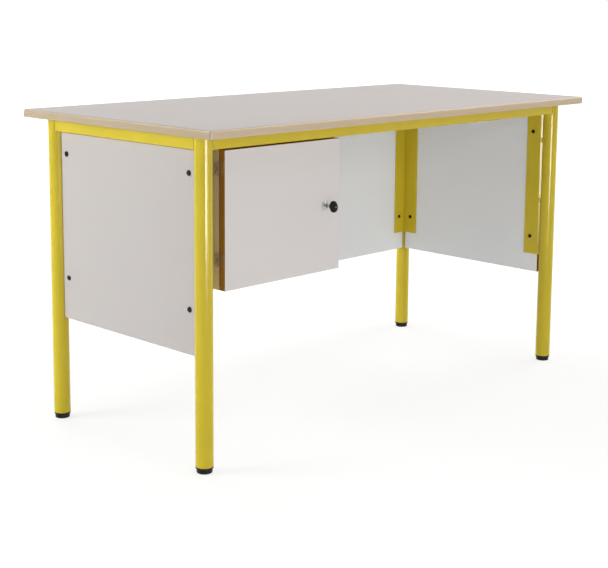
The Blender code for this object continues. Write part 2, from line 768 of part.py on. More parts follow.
def build_strike(zinc):
    """Bent plate on the cupboard's right side that the cam turns behind."""
    wall = CUPBOARD_RIGHT - CUPBOARD_BOARD - FIT_GAP
    rear = DOOR_FRONT + CAM_FRONT - STRIKE_CAM_GAP
    front = rear - STRIKE_THICKNESS
    outline = [
        (wall, front),
        (wall, front + STRIKE_BASE),
        (wall - STRIKE_THICKNESS, front + STRIKE_BASE),
        (wall - STRIKE_THICKNESS, rear),
        (wall - STRIKE_FLANGE, rear),
        (wall - STRIKE_FLANGE, front),
    ]
    add("strike_plate", prism(outline, LOCK_Z - STRIKE_HEIGHT / 2, LOCK_Z + STRIKE_HEIGHT / 2), zinc)


def build_key(steel, plastic, pivot):
    """Key in the lock: flat blade with an oval plastic bow on its tang."""
    face = (LOCK_X, DOOR_FRONT, LOCK_Z)
    wide = KEY_BLADE_THICKNESS / 2
    tall = KEY_BLADE_HEIGHT / 2
    neck = BOW_CENTRE - BOW_LENGTH / 2 - BOW_NECK_LENGTH
    shape = block((-wide, -tall, -KEY_BLADE_DEPTH), (wide, tall, neck + KEY_TANG))
    add("key_blade", shape, steel, face, FORWARD, pivot)

    radius = BOW_HEIGHT / 2
    half_neck = BOW_NECK_WIDTH / 2
    start = math.degrees(math.acos(half_neck / radius))
    oval = BOW_LENGTH / BOW_HEIGHT
    outline = [(half_neck, neck)]
    outline += [(x, BOW_CENTRE + y * oval) for x, y in arc((0, 0), radius, -start, 180 + start, 30)]
    outline += [(-half_neck, neck)]
    shape = prism(outline, -BOW_THICKNESS / 2, BOW_THICKNESS / 2)
    upright = Matrix(((0, 0, 1, 0), (1, 0, 0, 0), (0, 1, 0, 0), (0, 0, 0, 1)))
    bmesh.ops.transform(shape, matrix=upright, verts=shape.verts)
    bow = add("key_bow", shape, plastic, face, FORWARD, pivot)
    break_edges(bow, BOW_ROUNDING, 2)
    tang = wide + KEY_PLAY
    shape = block((-tang, -tall - KEY_PLAY, 0), (tang, tall + KEY_PLAY, neck + KEY_TANG + KEY_PLAY))
    combine(bow, cutter("tang_pocket", shape, face, FORWARD, pivot))
    shape = rod(BOW_HOLE_DIAMETER / 2, -BOW_THICKNESS, BOW_THICKNESS, BOLT_SEGMENTS)
    bmesh.ops.transform(shape, matrix=upright, verts=shape.verts)
    place = (LOCK_X, DOOR_FRONT - BOW_CENTRE - BOW_HOLE_OFFSET, LOCK_Z)
    combine(bow, cutter("ring_hole", shape, place, FORWARD, pivot))


def main():
    clear_scene()
    laminate = material("grey_laminate", (0.60, 0.57, 0.55), 0.45)
    wood = material("lipping_wood", (0.52, 0.41, 0.29), 0.40)
    fibre = material("fibreboard", (0.42, 0.30, 0.19), 0.75)
    paint = material("yellow_paint", (0.68, 0.52, 0.03), 0.25)
    black = material("black_plastic", (0.012, 0.012, 0.013), 0.45)
    dark_steel = material("dark_steel", (0.05, 0.045, 0.04), 0.35, 1.0)
    bronze = material("hinge_steel", (0.24, 0.19, 0.12), 0.40, 1.0)
    nickel = material("lock_nickel", (0.72, 0.70, 0.66), 0.18, 1.0)
    zinc = material("zinc_steel", (0.58, 0.58, 0.57), 0.38, 1.0)

    build_desktop(laminate, wood)
    build_legs(paint, black)
    build_rails(paint)
    panels = build_panels(laminate)
    brackets = build_brackets(paint)
    build_bolts(dark_steel, panels, brackets)
    build_cupboard(laminate, fibre, zinc)

    door_pivot = empty("door_pivot", (HINGE_X, HINGE_Y, 0))
    plug_pivot = empty("plug_pivot", (LOCK_X, DOOR_FRONT, LOCK_Z), door_pivot)
    key_slide = empty("key_slide", (LOCK_X, DOOR_FRONT, LOCK_Z), plug_pivot)
    build_door(laminate, door_pivot)
    build_hinges(bronze, door_pivot)
    build_lock(nickel, zinc, door_pivot, plug_pivot)
    build_strike(zinc)
    build_key(nickel, black, key_slide)


main()
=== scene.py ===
"""Looks of a teacher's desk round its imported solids: materials, welds, screws, light and camera.

Metres, +Z up, in the solids' own frame: +X along the desk away from the cupboard, -Y to the user.
"""

import math

import bmesh
import bpy
from mathutils import Matrix, Vector


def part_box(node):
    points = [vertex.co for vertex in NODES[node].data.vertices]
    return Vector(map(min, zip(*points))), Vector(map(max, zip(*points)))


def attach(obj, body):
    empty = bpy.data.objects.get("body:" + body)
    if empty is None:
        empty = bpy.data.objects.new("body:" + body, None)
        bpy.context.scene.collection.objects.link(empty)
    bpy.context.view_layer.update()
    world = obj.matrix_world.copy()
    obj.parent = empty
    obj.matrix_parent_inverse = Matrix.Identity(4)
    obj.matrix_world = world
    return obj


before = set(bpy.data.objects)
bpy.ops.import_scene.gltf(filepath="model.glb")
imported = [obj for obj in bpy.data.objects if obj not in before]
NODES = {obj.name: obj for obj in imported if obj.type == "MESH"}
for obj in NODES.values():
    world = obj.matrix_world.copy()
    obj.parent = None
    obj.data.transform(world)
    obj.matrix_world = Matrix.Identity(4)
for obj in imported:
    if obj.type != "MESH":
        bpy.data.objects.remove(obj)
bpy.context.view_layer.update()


def box(node):
    """Lowest and highest corner of a node at rest."""
    low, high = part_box(node)
    return Vector(low), Vector(high)


def middle(node):
    """Middle of a node's box at rest."""
    low, high = box(node)
    return (low + high) / 2


# Shader nodes

NOISE_LOW = 0.3
NOISE_HIGH = 0.7


def new_material(name, roughness, metallic=0.0, **constants):
    """A plain Principled material, with its constants set on the shader's own sockets."""
    made = bpy.data.materials.new(name)
    made.use_nodes = True
    shader = made.node_tree.nodes["Principled BSDF"]
    shader.inputs["Roughness"].default_value = roughness
    shader.inputs["Metallic"].default_value = metallic
    for socket, value in constants.items():
        shader.inputs[socket.replace("_", " ")].default_value = value
    return made, made.node_tree, shader


def put(tree, kind, inputs=None, **settings):
    """Adds a node, with its settings and its inputs, which are values or other nodes' outputs."""
    node = tree.nodes.new(kind)
    for key, value in settings.items():
        setattr(node, key, value)
    for key, value in (inputs or {}).items():
        if isinstance(value, bpy.types.NodeSocket):
            tree.links.new(value, node.inputs[key])
        else:
            node.inputs[key].default_value = value
    return node


def place(tree, stretch=(1, 1, 1)):
    """The piece's own coordinates in metres, which stay with it when it moves."""
    coords = put(tree, "ShaderNodeTexCoord").outputs["Object"]
    return put(tree, "ShaderNodeMapping", {"Vector": coords, "Scale": stretch}).outputs["Vector"]


def facing(tree, axis):
    """How far the piece's surface faces along one of its own axes, from -1 to 1."""
    normal = put(tree, "ShaderNodeTexCoord").outputs["Normal"]
    return put(tree, "ShaderNodeSeparateXYZ", {"Vector": normal}).outputs[axis]


def noise(tree, where, scale, detail=2.0, roughness=0.5):
    """Noise that lies mostly between NOISE_LOW and NOISE_HIGH."""
    inputs = {"Vector": where, "Scale": scale, "Detail": detail, "Roughness": roughness}
    return put(tree, "ShaderNodeTexNoise", inputs).outputs["Fac"]


def spread(tree, value, low, high, to_low=0.0, to_high=1.0):
    """Stretches a value's range onto another, and holds it there."""
    inputs = {"Value": value, "From Min": low, "From Max": high, "To Min": to_low, "To Max": to_high}
    return put(tree, "ShaderNodeMapRange", inputs).outputs["Result"]


def clouds(tree, where, scale, detail=2.0, roughness=0.5, low=0.0, high=1.0):
    """Noise stretched onto a range."""
    return spread(tree, noise(tree, where, scale, detail, roughness), NOISE_LOW, NOISE_HIGH, low, high)


def mix(tree, factor, one, two):
    """Mixes two colours."""
    made = put(tree, "ShaderNodeMix", data_type="RGBA")
    for key, value in ((0, factor), (6, one), (7, two)):
        if isinstance(value, bpy.types.NodeSocket):
            tree.links.new(value, made.inputs[key])
        else:
            made.inputs[key].default_value = (*value, 1.0) if key else value
    return made.outputs[2]


def shade(colour, factor):
    """A colour made lighter or darker."""
    return tuple(min(channel * factor, 1.0) for channel in colour)


def bump(tree, shader, height, strength, distance):
    """Fine relief."""
    made = put(tree, "ShaderNodeBump", {"Height": height, "Strength": strength, "Distance": distance})
    tree.links.new(made.outputs["Normal"], shader.inputs["Normal"])


def link(tree, output, shader, socket):
    """Feeds one of the shader's sockets."""
    tree.links.new(output, shader.inputs[socket])


# Materials


def powder_coat(name, colour):
    """Glossy powder coat: orange peel, faint clouding and small changes of gloss."""
    made, tree, shader = new_material(name, 0.19, Specular_IOR_Level=0.18)
    where = place(tree)
    cloud = clouds(tree, where, scale=9.0, detail=3.0)
    link(tree, mix(tree, cloud, shade(colour, 0.97), shade(colour, 1.03)), shader, "Base Color")
    link(tree, clouds(tree, where, scale=9.0, low=0.185, high=0.195), shader, "Roughness")
    bump(tree, shader, noise(tree, where, scale=900.0), strength=0.008, distance=0.0001)
    return made


def laminate(name, axis, plus, minus, edge):
    """Melamine faces with a fine satin grain, one colour for each, and a stained edge between them. The
    face colours and the edge's lightness are partly painted light and shade: one laminate takes its own
    grey on each face, set for the light that face gets.
    """
    made, tree, shader = new_material(name, 0.48, Specular_IOR_Level=0.15)
    where = place(tree)
    way = facing(tree, axis)
    # Painted light and shade: each face of the one laminate takes the colour set for the light it gets.
    base = mix(tree, spread(tree, way, -0.1, 0.1), minus, plus)
    fleck = clouds(tree, where, scale=750.0, detail=3.0, roughness=0.6, low=0.975, high=1.02)
    cloud = clouds(tree, where, scale=4.0, low=0.992, high=1.008)
    tone = put(tree, "ShaderNodeMath", {0: fleck, 1: cloud}, operation="MULTIPLY").outputs["Value"]
    face = put(tree, "ShaderNodeVectorMath", {0: base, "Scale": tone}, operation="SCALE").outputs["Vector"]
    fibre = clouds(tree, where, scale=240.0, detail=4.0, roughness=0.65)
    rim = mix(tree, fibre, shade(edge, 0.80), shade(edge, 1.18))
    size = put(tree, "ShaderNodeMath", {0: way}, operation="ABSOLUTE").outputs["Value"]
    on_face = spread(tree, size, 0.60, 0.66)
    link(tree, mix(tree, on_face, rim, face), shader, "Base Color")
    link(tree, spread(tree, on_face, 0.0, 1.0, to_low=0.60, to_high=0.46), shader, "Roughness")
    bump(tree, shader, noise(tree, where, scale=1100.0), strength=0.06, distance=0.0002)
    return made


def beech(name, run, colour):
    """Lacquered beech: long grain along the strip, short darker flecks, a soft gloss."""
    lacquer = {"Specular_IOR_Level": 0.30, "Coat_Weight": 0.10, "Coat_Roughness": 0.30}
    made, tree, shader = new_material(name, 0.44, **lacquer)

    def stretched(along, across):
        """Coordinates that make long grain along the strip."""
        return place(tree, (along, across, across) if run == "X" else (across, along, across))

    grain = clouds(tree, stretched(along=14.0, across=420.0), scale=1.0, detail=4.0, roughness=0.6)
    band = clouds(tree, stretched(along=1.6, across=46.0), scale=1.0, detail=3.0)
    wood = mix(tree, grain, shade(colour, 0.90), shade(colour, 1.08))
    tone = mix(tree, band, shade(colour, 0.94), shade(colour, 1.05))
    link(tree, mix(tree, 0.45, wood, tone), shader, "Base Color")
    link(tree, spread(tree, grain, 0.0, 1.0, to_low=0.40, to_high=0.50), shader, "Roughness")
    bump(tree, shader, grain, strength=0.08, distance=0.0002)
    return made


def plastic(name, colour, roughness, texture):
    """Moulded plastic with a fine spark-eroded texture and a little dust."""
    made, tree, shader = new_material(name, roughness, Specular_IOR_Level=0.22)
    where = place(tree)
    dust = spread(tree, noise(tree, where, scale=120.0, detail=4.0, roughness=0.7), 0.45, 0.75)
    link(tree, mix(tree, dust, colour, shade(colour, 1.9)), shader, "Base Color")
    link(tree, spread(tree, dust, 0.0, 1.0, roughness - 0.05, roughness + 0.10), shader, "Roughness")
    bump(tree, shader, noise(tree, where, scale=1600.0), strength=texture, distance=0.0002)
    return made


def metal(name, colour, roughness, mottle, metallic=1.0, gloss=0.5, front=None):
    """Bare, plated or stained metal: mottled tone, fine scratches, and perhaps a front painted darker as
    shade.
    """
    made, tree, shader = new_material(name, roughness, metallic, Specular_IOR_Level=gloss)
    where = place(tree)
    cloud = clouds(tree, where, scale=180.0, detail=3.0, roughness=0.6)
    tone = mix(tree, cloud, shade(colour, 1 - mottle), shade(colour, 1 + mottle))
    if front:
        # Painted shade: the faces towards the user (-Y) take the darker front colour, to hold down the
        # light that falls on them.
        tone = mix(tree, spread(tree, facing(tree, "Y"), -0.35, -0.05), front, tone)
    link(tree, tone, shader, "Base Color")
    scratch = noise(tree, where, scale=900.0, detail=3.0, roughness=0.6)
    uneven = spread(tree, scratch, NOISE_LOW, NOISE_HIGH, roughness - 0.06, roughness + 0.08)
    link(tree, uneven, shader, "Roughness")
    bump(tree, shader, scratch, strength=0.05, distance=0.0001)
    return made


# Painted light and shade: the top, left, rear and door faces are one grey laminate, each given its own
# lighter or darker grey for the light it gets. The left is darker and the door lighter. The inner faces'
# near white is partly painted light, set high for the shade under the desk.
GREY = (0.630, 0.574, 0.555)
LEFT_GREY_PAINTED_SHADE = (0.556, 0.513, 0.512)
REAR_GREY = (0.585, 0.555, 0.540)
DOOR_GREY_PAINTED_LIGHT = (0.758, 0.714, 0.695)
INNER_WHITE_AND_PAINTED_LIGHT = (0.905, 0.918, 0.928)
# Partly painted light: the brown of the edge bands, made lighter than their own to stand in for light in
# the dark gap by the hinge.
EDGE_BROWN = (0.455, 0.205, 0.040)
# Painted light: the cupboard's grey left side takes a light beige that stands in for yellow light bounced
# onto it from the legs, and for more light than reaches it.
SIDE_BEIGE_PAINTED_LIGHT = (0.970, 0.850, 0.590)
YELLOW = (0.660, 0.512, 0.032)
# Painted light and shade: one beech takes a lighter tone on the front and back strips and a darker one on
# the end strips, for the light each side gets.
BEECH_FRONT_BACK_LIGHTER = (0.600, 0.470, 0.320)
BEECH_ENDS_DARKER = (0.478, 0.372, 0.252)
FIBRE = (0.42, 0.30, 0.19)
FIBRE_EDGE = (0.30, 0.20, 0.12)
PLASTIC_BLACK = (0.005, 0.005, 0.005)
BOLT_BLACK = (0.030, 0.028, 0.026)
# Painted shade: near black for the collars that stand in for the dark bolt holes.
COLLAR_PAINTED_SHADE = (0.016, 0.011, 0.006)
NICKEL_GREY = (0.42, 0.41, 0.39)
ZINC_GREY = (0.38, 0.39, 0.40)
# Painted light and shade on the hinges: the cupboard leaves' bronze is made lighter for the shade they
# stand in, and the fronts of both hinges, the knuckles most, take a darker colour to hold down the light on
# them.
HINGE_BRONZE_PAINTED_LIGHT = (0.80, 0.69, 0.50)
HINGE_BROWN = (0.43, 0.21, 0.055)
HINGE_FRONT_PAINTED_SHADE = (0.270, 0.225, 0.155)
STAINED_WITH_SHADED_FRONT = {"metallic": 0.0, "front": HINGE_FRONT_PAINTED_SHADE}

YELLOW_PAINT = powder_coat("yellow_powder_coat", YELLOW)
LAMINATE_TOP = laminate("grey_laminate_top", "Z", GREY, GREY, EDGE_BROWN)
LAMINATE_LEFT = laminate("grey_laminate_left", "X", INNER_WHITE_AND_PAINTED_LIGHT, LEFT_GREY_PAINTED_SHADE, EDGE_BROWN)
LAMINATE_RIGHT = laminate("grey_laminate_right", "X", REAR_GREY, INNER_WHITE_AND_PAINTED_LIGHT, EDGE_BROWN)
LAMINATE_BACK = laminate("grey_laminate_back", "Y", REAR_GREY, INNER_WHITE_AND_PAINTED_LIGHT, EDGE_BROWN)
LAMINATE_DOOR = laminate("grey_laminate_door", "Y", INNER_WHITE_AND_PAINTED_LIGHT, DOOR_GREY_PAINTED_LIGHT, EDGE_BROWN)
# Painted light: the face towards -X, in the gap by the front left leg, is beige for bounced yellow light.
LAMINATE_SIDE_LEFT = laminate("grey_laminate_side_left", "X", GREY, SIDE_BEIGE_PAINTED_LIGHT, EDGE_BROWN)
LAMINATE_SIDE_RIGHT = laminate("grey_laminate_side_right", "X", GREY, GREY, EDGE_BROWN)
# Painted light and shade: the two lipping materials differ in tone for the light on their sides, and in the
# run of their grain.
BEECH_X = beech("beech_lipping_x", "X", BEECH_FRONT_BACK_LIGHTER)
BEECH_Y = beech("beech_lipping_y", "Y", BEECH_ENDS_DARKER)
FIBREBOARD = laminate("fibreboard", "Y", FIBRE, FIBRE, FIBRE_EDGE)
BLACK_PLASTIC = plastic("black_plastic", PLASTIC_BLACK, roughness=0.36, texture=0.10)
DARK_STEEL = metal("dark_steel", BOLT_BLACK, roughness=0.13, mottle=0.15)
# Painted light and shade: a lightened bronze with a darkened front, on both hinges.
BRONZE = metal("bronzed_steel", HINGE_BRONZE_PAINTED_LIGHT, roughness=0.55, mottle=0.12, gloss=0.08, **STAINED_WITH_SHADED_FRONT)
BROWN_STEEL = metal("browned_steel", HINGE_BROWN, roughness=0.60, mottle=0.12, gloss=0.05, **STAINED_WITH_SHADED_FRONT)
# Painted shade: a matt near black for the dark of the bolt holes.
BOLT_HOLE_SHADE = metal("bolt_hole_shade_steel", COLLAR_PAINTED_SHADE, roughness=0.60, mottle=0.15, metallic=0.0, gloss=0.04)
NICKEL = metal("nickel_plate", NICKEL_GREY, roughness=0.16, mottle=0.06)
ZINC = metal("zinc_plate", ZINC_GREY, roughness=0.42, mottle=0.10, metallic=0.0, gloss=0.35)

FINISHES = (
    (("leg_", "rail_", "corner_angle_", "panel_bracket_"), YELLOW_PAINT),
    (("foot_", "key_bow"), BLACK_PLASTIC),
    (("lipping_front", "lipping_back"), BEECH_X),
    (("lipping_left", "lipping_right"), BEECH_Y),
    (("bolt_",), DARK_STEEL),
    (("hinge_leaf_door_",), BROWN_STEEL),
    (("hinge_",), BRONZE),
    (("lock_housing", "lock_plug", "key_blade"), NICKEL),
    (("lock_", "cupboard_angle_", "strike_"), ZINC),
    (("cupboard_back",), FIBREBOARD),
    (("panel_left",), LAMINATE_LEFT),
    (("panel_right",), LAMINATE_RIGHT),
    (("panel_back",), LAMINATE_BACK),
    (("door",), LAMINATE_DOOR),
    (("cupboard_side_left",), LAMINATE_SIDE_LEFT),
    (("cupboard_side_right",), LAMINATE_SIDE_RIGHT),
    (("desktop_board", "cupboard_bottom"), LAMINATE_TOP),
)


def finish(node):
    """Gives a solid the first material in FINISHES that has the start of its name."""
    slots = NODES[node].data.materials
    slots.clear()
    slots.append(next(made for starts, made in FINISHES if node.startswith(starts)))


for node in NODES:
    finish(node)


# Shapes of welds and screws

UP = Vector((0, 0, 1))
SMOOTH_ANGLE = math.radians(35)
BEAD_SIDES = 8
BEAD_STEP = 0.0011
BEAD_END = 0.45
BEAD_SWELL = 0.4
RIPPLE_PITCH = 0.0026
RIPPLE_DEPTH = 0.13
SCREW_SIDES = 24
SCREW_PROFILE = ((1.0, 0.0), (1.0, 0.25), (0.93, 0.55), (0.74, 0.85), (0.50, 1.0))
RECESS_ARM = 0.44
RECESS_NOTCH = 0.17
RECESS_FLOOR = -0.55


def piece(name, shape, made, body):
    """Makes a mesh piece that rides on a body."""
    bmesh.ops.recalc_face_normals(shape, faces=shape.faces)
    mesh = bpy.data.meshes.new(name)
    shape.to_mesh(mesh)
    shape.free()
    mesh.materials.append(made)
    mesh.shade_smooth()
    mesh.set_sharp_from_angle(angle=SMOOTH_ANGLE)
    thing = bpy.data.objects.new(name, mesh)
    bpy.context.collection.objects.link(thing)
    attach(thing, body)


def circle(count):
    """Angles spaced evenly round a circle."""
    return [math.tau * k / count for k in range(count)]


def add_ring(shape, seat, turn, reaches, level):
    """Corners round a seat's axis, each at its own reach from it, at one level above the seat."""
    corners = []
    for reach, angle in zip(reaches, circle(len(reaches))):
        spot = Vector((reach * math.cos(angle), reach * math.sin(angle), level))
        corners.append(shape.verts.new(seat + turn @ spot))
    return corners


def loft(shape, rings):
    """A closed skin over rings of corners."""
    for one, two in zip(rings, rings[1:]):
        count = len(one)
        for k in range(count):
            shape.faces.new((one[k], one[(k + 1) % count], two[(k + 1) % count], two[k]))
    shape.faces.new(rings[0])
    shape.faces.new(rings[-1])


def add_bead(shape, path, outwards, radius):
    """A rippled weld bead along a path, with the direction in which each point faces."""
    last = len(path) - 1
    rings = []
    run = 0.0
    for k, point in enumerate(path):
        before = path[max(k - 1, 0)]
        after = path[min(k + 1, last)]
        tangent = (after - before).normalized()
        out = outwards[k] - tangent * outwards[k].dot(tangent)
        out.normalize()
        side = tangent.cross(out)
        run += (point - before).length
        taper = min(1.0, BEAD_END + BEAD_SWELL * min(k, last - k))
        size = radius * taper * (1.0 + RIPPLE_DEPTH * math.sin(run * math.tau / RIPPLE_PITCH))
        rings.append([
            shape.verts.new(point + (out * math.cos(angle) + side * math.sin(angle)) * size)
            for angle in circle(BEAD_SIDES)
        ])
    loft(shape, rings)


def add_screw(shape, seat, out, radius, height):
    """A raised screw head with a cross recess, standing on its seat."""
    turn = Vector(out).to_track_quat("Z", "Y").to_matrix()
    quarter = SCREW_SIDES // 4
    on_arm = [abs(k % quarter - quarter // 2) > 1 for k in range(SCREW_SIDES)]
    cross = [RECESS_ARM if arm else RECESS_NOTCH for arm in on_arm]
    levels = [([reach] * SCREW_SIDES, level) for reach, level in SCREW_PROFILE]
    levels += [(cross, 1.0), (cross, RECESS_FLOOR)]
    rings = []
    for reaches, level in levels:
        scaled = [reach * radius for reach in reaches]
        rings.append(add_ring(shape, Vector(seat), turn, scaled, level * height))
    loft(shape, rings)


# Welds

LEG_RADIUS = (box("leg_front_left")[1].x - box("leg_front_left")[0].x) / 2
RAIL_HALF = (box("rail_front")[1].z - box("rail_front")[0].z) / 2
RAIL_MIDDLE = middle("rail_front").z
RAIL_CORNER = 0.0032
CORNER_STEPS = 4
RAIL_BEAD = 0.0016
RAIL_BEAD_LAP = 0.0004
RAIL_BEAD_LIFT = 0.0006
RAIL_BEAD_LEAN = 0.7
BEAD_BELOW_TOP = 0.0012
BRACKET_BEAD = 0.0028
BRACKET_BEAD_POINTS = 14
BRACKET_BEAD_HALF = 0.0072
BRACKET_BEAD_INWARDS = 0.0148
BRACKET_BEAD_BEHIND = 0.0168
BRACKET_BEAD_SHARES = (0.05, 0.39, 0.82)


def rail_outline(half, radius):
    """Outline of a square tube from its upper left corner down and round, in steps fit for a bead."""
    reach = half - radius
    corners = []
    for quarter, (right, up) in enumerate(((-1, 1), (-1, -1), (1, -1), (1, 1)), start=1):
        for step in range(CORNER_STEPS + 1):
            angle = math.radians(90 * (quarter + step / CORNER_STEPS))
            aside = right * reach + radius * math.cos(angle)
            rise = up * reach + radius * math.sin(angle)
            corners.append((aside, rise))
    dense = []
    for one, two in zip(corners, corners[1:] + corners[:1]):
        count = max(1, round(math.dist(one, two) / BEAD_STEP))
        for k in range(count):
            share = k / count
            dense.append((one[0] + (two[0] - one[0]) * share, one[1] + (two[1] - one[1]) * share))
    return dense


def rail_welds():
    """A bead round each end of each rail, where it meets the leg, up to the desktop."""
    ceiling = box("desktop_board")[0].z - BEAD_BELOW_TOP
    for side, along in (("front", 0), ("back", 0), ("left", 1), ("right", 1)):
        shape = bmesh.new()
        for leg in (name for name in NODES if name.startswith("leg_") and side in name):
            axis = middle(leg)
            ahead = Vector((0, 0, 0))
            ahead[along] = -math.copysign(1, axis[along])
            across = UP.cross(ahead)
            path = []
            outwards = []
            for aside, rise in rail_outline(RAIL_HALF + RAIL_BEAD_LAP, RAIL_CORNER):
                reach = math.sqrt(LEG_RADIUS ** 2 - aside ** 2) + RAIL_BEAD_LIFT
                point = Vector((axis.x, axis.y, RAIL_MIDDLE + rise)) + ahead * reach + across * aside
                if point.z < ceiling:
                    path.append(point)
                    outwards.append(ahead * RAIL_BEAD_LEAN + (across * aside + UP * rise) / RAIL_HALF)
            add_bead(shape, path, outwards, RAIL_BEAD)
        piece(f"weld_rail_{side}", shape, YELLOW_PAINT, "root")


def bracket_welds():
    """Short beads between the front legs and the lips of their brackets."""
    low, high = box("panel_bracket_front_right")
    for side, inwards in (("left", 1), ("right", -1)):
        axis = middle(f"leg_front_{side}")
        x = axis.x + inwards * BRACKET_BEAD_INWARDS
        y = axis.y + BRACKET_BEAD_BEHIND
        shape = bmesh.new()
        for share in BRACKET_BEAD_SHARES:
            start = low.z + (high.z - low.z) * share - BRACKET_BEAD_HALF
            path = [Vector((x, y, start + BEAD_STEP * k)) for k in range(BRACKET_BEAD_POINTS)]
            add_bead(shape, path, [Vector((inwards, 0.2, 0))] * len(path), BRACKET_BEAD)
        piece(f"weld_bracket_{side}", shape, YELLOW_PAINT, "root")


# Bolt ends and screws, with each screw head's radius and height

COLLAR_SIDES = 20
COLLAR_PROFILE = ((0.0054, -0.0008), (0.0054, 0.0), (0.0048, 0.0006), (0.0030, 0.0006), (0.0026, 0.0003))
HINGE_SCREW = (0.0024, 0.0007)
LEAF_SHEET = 0.0012
LEAF_SCREW_SHIFT = 0.0022
LEAF_SCREW_SHARES = (0.24, 0.76)
ANGLE_SCREW = (0.0036, 0.0016)
ANGLE_SHEET = 0.002
ANGLE_SCREW_INSET = 0.010
STRIKE_SCREW = (0.0032, 0.0013)
STRIKE_SHEET = 0.002
STRIKE_SCREW_INSET = 0.008
STRIKE_SCREW_SHARES = (0.22, 0.78)
TOP_SCREW = (0.0040, 0.0019)
LONG_RAIL_SHARES = (0.12, 0.5, 0.88)
SHORT_RAIL_SHARES = (0.2, 0.8)


def bolt_ends():
    """A near-black collar round the end of each bolt, on the inner face of its bracket: painted shade for
    the dark of the bolt holes.
    """
    for panel, along, inwards in (("left", 0, 1), ("right", 0, -1), ("back", 1, -1)):
        out = Vector((0, 0, 0))
        out[along] = inwards
        turn = out.to_track_quat("Z", "Y").to_matrix()
        shape = bmesh.new()
        for node in (name for name in NODES if name.startswith(f"bolt_{panel}_")):
            low, high = box(node)
            tip = (low + high) / 2
            tip[along] = high[along] if inwards > 0 else low[along]
            rings = []
            for reach, level in COLLAR_PROFILE:
                rings.append(add_ring(shape, tip, turn, [reach] * COLLAR_SIDES, level))
            loft(shape, rings)
        piece(f"bolt_ends_{panel}", shape, BOLT_HOLE_SHADE, "root")


def hinge_screws():
    """Two screws in each leaf of each hinge."""
    for hinge in ("lower", "upper"):
        pin = middle(f"hinge_pin_{hinge}")
        for leaf, body, way, made in (("cupboard", "root", 1, BRONZE), ("door", "door", -1, BROWN_STEEL)):
            low, high = box(f"hinge_leaf_{leaf}_{hinge}")
            end = high.y if way > 0 else low.y
            y = (pin.y + end) / 2 + way * LEAF_SCREW_SHIFT
            shape = bmesh.new()
            for share in LEAF_SCREW_SHARES:
                seat = (high.x - LEAF_SHEET, y, low.z + (high.z - low.z) * share)
                add_screw(shape, seat, (-1, 0, 0), *HINGE_SCREW)
            piece(f"hinge_screws_{leaf}_{hinge}", shape, made, body)


def cupboard_screws():
    """A screw in each leg of each angle that hangs the cupboard."""
    for side, inwards in (("left", 1), ("right", -1)):
        for end in ("front", "rear"):
            low, high = box(f"cupboard_angle_{side}_{end}")
            wall, tip = (low.x, high.x) if inwards > 0 else (high.x, low.x)
            y = (low.y + high.y) / 2
            shape = bmesh.new()
            seat = (wall + inwards * ANGLE_SHEET, y, low.z + ANGLE_SCREW_INSET)
            add_screw(shape, seat, (inwards, 0, 0), *ANGLE_SCREW)
            seat = (tip - inwards * ANGLE_SCREW_INSET, y, high.z - ANGLE_SHEET)
            add_screw(shape, seat, (0, 0, -1), *ANGLE_SCREW)
            piece(f"angle_screws_{side}_{end}", shape, ZINC, "root")


def strike_screws():
    """Two screws in the strike plate."""
    low, high = box("strike_plate")
    shape = bmesh.new()
    for share in STRIKE_SCREW_SHARES:
        seat = (high.x - STRIKE_SHEET, high.y - STRIKE_SCREW_INSET, low.z + (high.z - low.z) * share)
        add_screw(shape, seat, (-1, 0, 0), *STRIKE_SCREW)
    piece("strike_screws", shape, ZINC, "root")


def top_screws():
    """Screws up through the rails into the desktop."""
    for side, along in (("front", 0), ("back", 0), ("left", 1), ("right", 1)):
        low, high = box(f"rail_{side}")
        shape = bmesh.new()
        for share in SHORT_RAIL_SHARES if along else LONG_RAIL_SHARES:
            seat = (low + high) / 2
            seat[along] = low[along] + (high[along] - low[along]) * share
            seat.z = low.z
            add_screw(shape, seat, (0, 0, -1), *TOP_SCREW)
        piece(f"top_screws_{side}", shape, ZINC, "root")


rail_welds()
bracket_welds()
bolt_ends()
hinge_screws()
cupboard_screws()
strike_screws()
top_screws()


# Floor and background

WHITE = (1.0, 1.0, 1.0, 1.0)
FLOOR_GREY = (0.80, 0.80, 0.80, 1.0)
FLOOR_REACH = 14.0
FLOOR_GAP = 0.0005
FLOOR_GLOW = 1.30
SHADOW_INNER = 0.9
SHADOW_OUTER = 2.6
GLOW_UNDER_DESK = 0.55
AMBIENT = 0.20


def shown(tree):
    """1 for the rays that show the background: the camera's own, and those of gloss and glass."""
    rays = put(tree, "ShaderNodeLightPath").outputs
    value = rays["Is Camera Ray"]
    for kind in ("Is Glossy Ray", "Is Transmission Ray"):
        value = put(tree, "ShaderNodeMath", {0: value, 1: rays[kind]}, operation="MAXIMUM").outputs["Value"]
    return value


